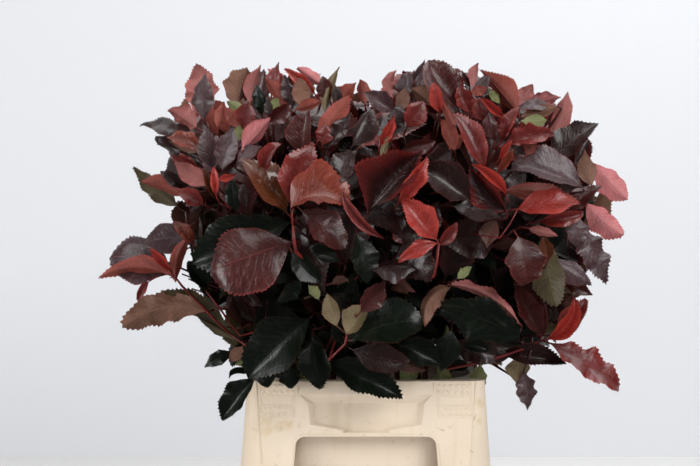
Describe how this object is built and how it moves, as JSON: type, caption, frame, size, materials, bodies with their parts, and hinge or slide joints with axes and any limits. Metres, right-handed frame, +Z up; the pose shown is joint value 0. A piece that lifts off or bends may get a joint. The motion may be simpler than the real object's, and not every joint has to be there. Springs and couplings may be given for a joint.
{
  "type": "bucket of cut photinia branches",
  "caption": "Dense bunch of leafy cut photinia branches with red, burgundy and dark green leaves, standing in a double-walled rectangular flower bucket.",
  "frame": {"origin": "middle of the bucket's flat underside", "axes": "+Z up, +Y away from the side of the bucket that the picture shows, +X to that side's right"},
  "size_m": [0.6521, 0.6564, 0.7523],
  "materials": {
    "bucket_plastic": "satin cream plastic, lightly scuffed",
    "stem_bark": "smooth red-brown bark",
    "foliage_red": "glossy young red leaves",
    "foliage_burgundy": "glossy burgundy leaves",
    "foliage_dark": "glossy green-black old leaves"
  },
  "bodies": {
    "root": {"flower_bucket": "bucket_plastic", "foliage_01": "foliage_red", "foliage_02": "foliage_burgundy", "foliage_03": "foliage_dark", "foliage_04": "foliage_red", "foliage_05": "foliage_burgundy", "foliage_06": "foliage_dark", "foliage_07": "foliage_red", "foliage_08": "foliage_burgundy", "foliage_09": "foliage_dark", "foliage_10": "foliage_red", "foliage_11": "foliage_burgundy", "foliage_12": "foliage_dark", "foliage_14": "foliage_red", "foliage_15": "foliage_burgundy", "foliage_16": "foliage_dark", "foliage_17": "foliage_red", "foliage_18": "foliage_burgundy", "foliage_20": "foliage_dark", "foliage_21": "foliage_red", "foliage_22": "foliage_burgundy", "foliage_left_sprig": "foliage_dark", "foliage_right_sprig": "foliage_red", "stem_01": "stem_bark", "stem_02": "stem_bark", "stem_03": "stem_bark", "stem_04": "stem_bark", "stem_05": "stem_bark", "stem_06": "stem_bark", "stem_07": "stem_bark", "stem_08": "stem_bark", "stem_09": "stem_bark", "stem_10": "stem_bark", "stem_11": "stem_bark", "stem_12": "stem_bark", "stem_14": "stem_bark", "stem_15": "stem_bark", "stem_16": "stem_bark", "stem_17": "stem_bark", "stem_18": "stem_bark", "stem_20": "stem_bark", "stem_21": "stem_bark", "stem_22": "stem_bark", "stem_left_sprig": "stem_bark", "stem_right_sprig": "stem_bark"}
  },
  "joints": []
}
